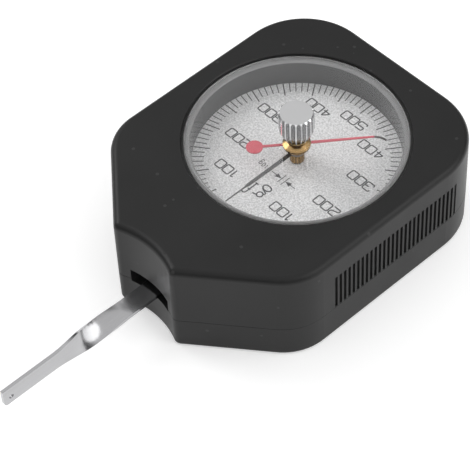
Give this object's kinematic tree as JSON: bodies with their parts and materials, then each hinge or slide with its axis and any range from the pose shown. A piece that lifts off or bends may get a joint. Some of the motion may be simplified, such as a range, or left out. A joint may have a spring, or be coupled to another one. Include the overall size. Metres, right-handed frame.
{
  "type": "dial force gauge",
  "caption": "Pocket dial force gauge: black case, round silver dial with a load hand and a peak hand, fluted reset knob, and a twisted steel sensing lever.",
  "frame": {"origin": "where the dial's axis meets the back face", "axes": "+Z out of the dial, -Y along the sensing lever, +X to the right with the dial read lever down"},
  "size_m": [0.0652, 0.1244, 0.0347],
  "materials": {
    "case_black": "satin moulded black, fine grain",
    "window_clear": "clear, polished",
    "gasket_black": "dull black",
    "ring_grey": "glossy grey",
    "dial_silver": "fine grained silver",
    "plate_brass": "brushed",
    "bush_brass": "turned",
    "screw_steel": "turned, bright",
    "spring_steel": "ground",
    "hair_bronze": "thin bright strip",
    "lever_steel": "polished stainless",
    "gear_steel": "machined",
    "hub_brass": "fluted, satin",
    "collar_grey": "matte grey",
    "hand_black": "satin black",
    "hand_red": "satin red",
    "knob_chrome": "plated, matte top",
    "shaft_steel": "turned"
  },
  "bodies": {
    "case": {"front_case": "case_black", "back_cover": "case_black", "case_screws": "screw_steel", "window_crystal": "window_clear", "window_gasket": "gasket_black", "dial_spacer_ring": "ring_grey", "dial_plate": "dial_silver", "movement_plate": "plate_brass", "movement_bridge": "plate_brass", "bridge_pillars": "bush_brass", "bridge_screws": "screw_steel", "plate_screws": "screw_steel", "lever_bushes": "bush_brass", "pointer_bushes": "bush_brass", "load_springs": "spring_steel", "spring_block": "bush_brass", "spring_block_screws": "screw_steel", "spring_rest_pin": "gear_steel", "stop_pins": "gear_steel", "hairspring": "hair_bronze", "hairspring_stud": "bush_brass", "knob_bushing": "bush_brass"},
    "lever": {"lever_arm": "lever_steel", "lever_hub": "bush_brass", "lever_screws": "screw_steel", "lever_arbor": "gear_steel", "sector_gear": "gear_steel", "spring_drive_pin": "gear_steel"},
    "pointer": {"pinion_arbor": "gear_steel", "hairspring_collet": "bush_brass", "pointer_hub": "hub_brass", "pointer_collar": "collar_grey", "load_hand": "hand_black"},
    "peak": {"reset_knob": "knob_chrome", "knob_shaft": "shaft_steel", "friction_washer": "spring_steel", "peak_hub": "hub_brass", "peak_washer": "hub_brass", "peak_hand": "hand_red"}
  },
  "joints": [
    {"name": "lever_swing", "type": "hinge", "parent": "case", "child": "lever", "pos_m": [0, -0.02625, 0.0103], "axis": [0, 0, 1], "range_deg": [-9, 9], "stiffness_Nm_per_rad": 1.93, "deforming": ["load_springs"]},
    {"name": "pointer_turn", "type": "hinge", "parent": "case", "child": "pointer", "pos_m": [0, 0, 0.018], "axis": [0, 0, 1], "range_deg": [-180.5, 180.5], "deforming": ["hairspring"]},
    {"name": "peak_reset", "type": "hinge", "parent": "case", "child": "peak", "pos_m": [0, 0, 0.0268], "axis": [0, 0, 1], "range_deg": [-139, 215]}
  ],
  "couplings": [
    {"joint": "pointer_turn", "follows": "lever_swing", "ratio": -20}
  ]
}
